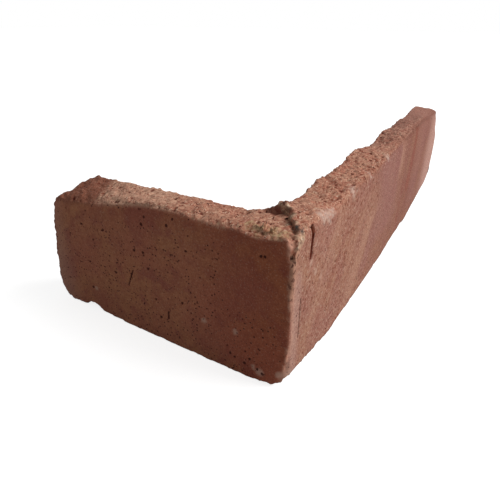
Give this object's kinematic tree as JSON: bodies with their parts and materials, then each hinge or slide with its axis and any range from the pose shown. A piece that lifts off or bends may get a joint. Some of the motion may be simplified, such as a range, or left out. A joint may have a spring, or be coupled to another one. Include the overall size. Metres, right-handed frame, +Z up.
{
  "type": "corner brick slip",
  "caption": "L-shaped corner slip sawn from a hand-moulded brick, with one long stretcher face and one short header face, to clad the outer corner of a wall.",
  "frame": {"origin": "foot of the inner corner, where the two sawn backs meet the plane of the bed", "axes": "+X along the long stretcher leg, +Y along the short header leg, +Z up from the bed to the crest"},
  "size_m": [0.2525, 0.1225, 0.0674],
  "materials": {
    "fired_clay": "matt, fine-pored hand-moulded fired clay"
  },
  "bodies": {
    "root": {"corner_tile": "fired_clay"}
  },
  "joints": []
}
